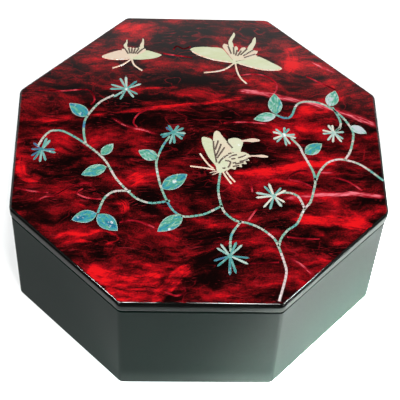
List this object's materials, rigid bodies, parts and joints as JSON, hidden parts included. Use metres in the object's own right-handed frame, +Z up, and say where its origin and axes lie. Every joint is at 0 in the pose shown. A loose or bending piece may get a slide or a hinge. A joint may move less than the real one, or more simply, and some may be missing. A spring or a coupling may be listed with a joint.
{
  "type": "octagonal storage box",
  "caption": "Octagonal lacquered storage box with flat lift-off lid, shell-inlaid with butterflies and flowering vines on a red and black ground.",
  "frame": {"origin": "middle of the underside, on the surface that the box stands on", "axes": "+Z up through the middle of the lid, the front wall faces -Y and +X is to its right"},
  "size_m": [0.2, 0.2, 0.08],
  "materials": {
    "black_lacquer": "black lacquer on wood, satin gloss",
    "red_black_lacquer": "streaked red and black ground under clear gloss lacquer, with black edges",
    "shell_inlay": "iridescent shell, ground flush in the lacquer"
  },
  "bodies": {
    "root": {"box_body": "black_lacquer", "lid": "red_black_lacquer"}
  },
  "joints": []
}
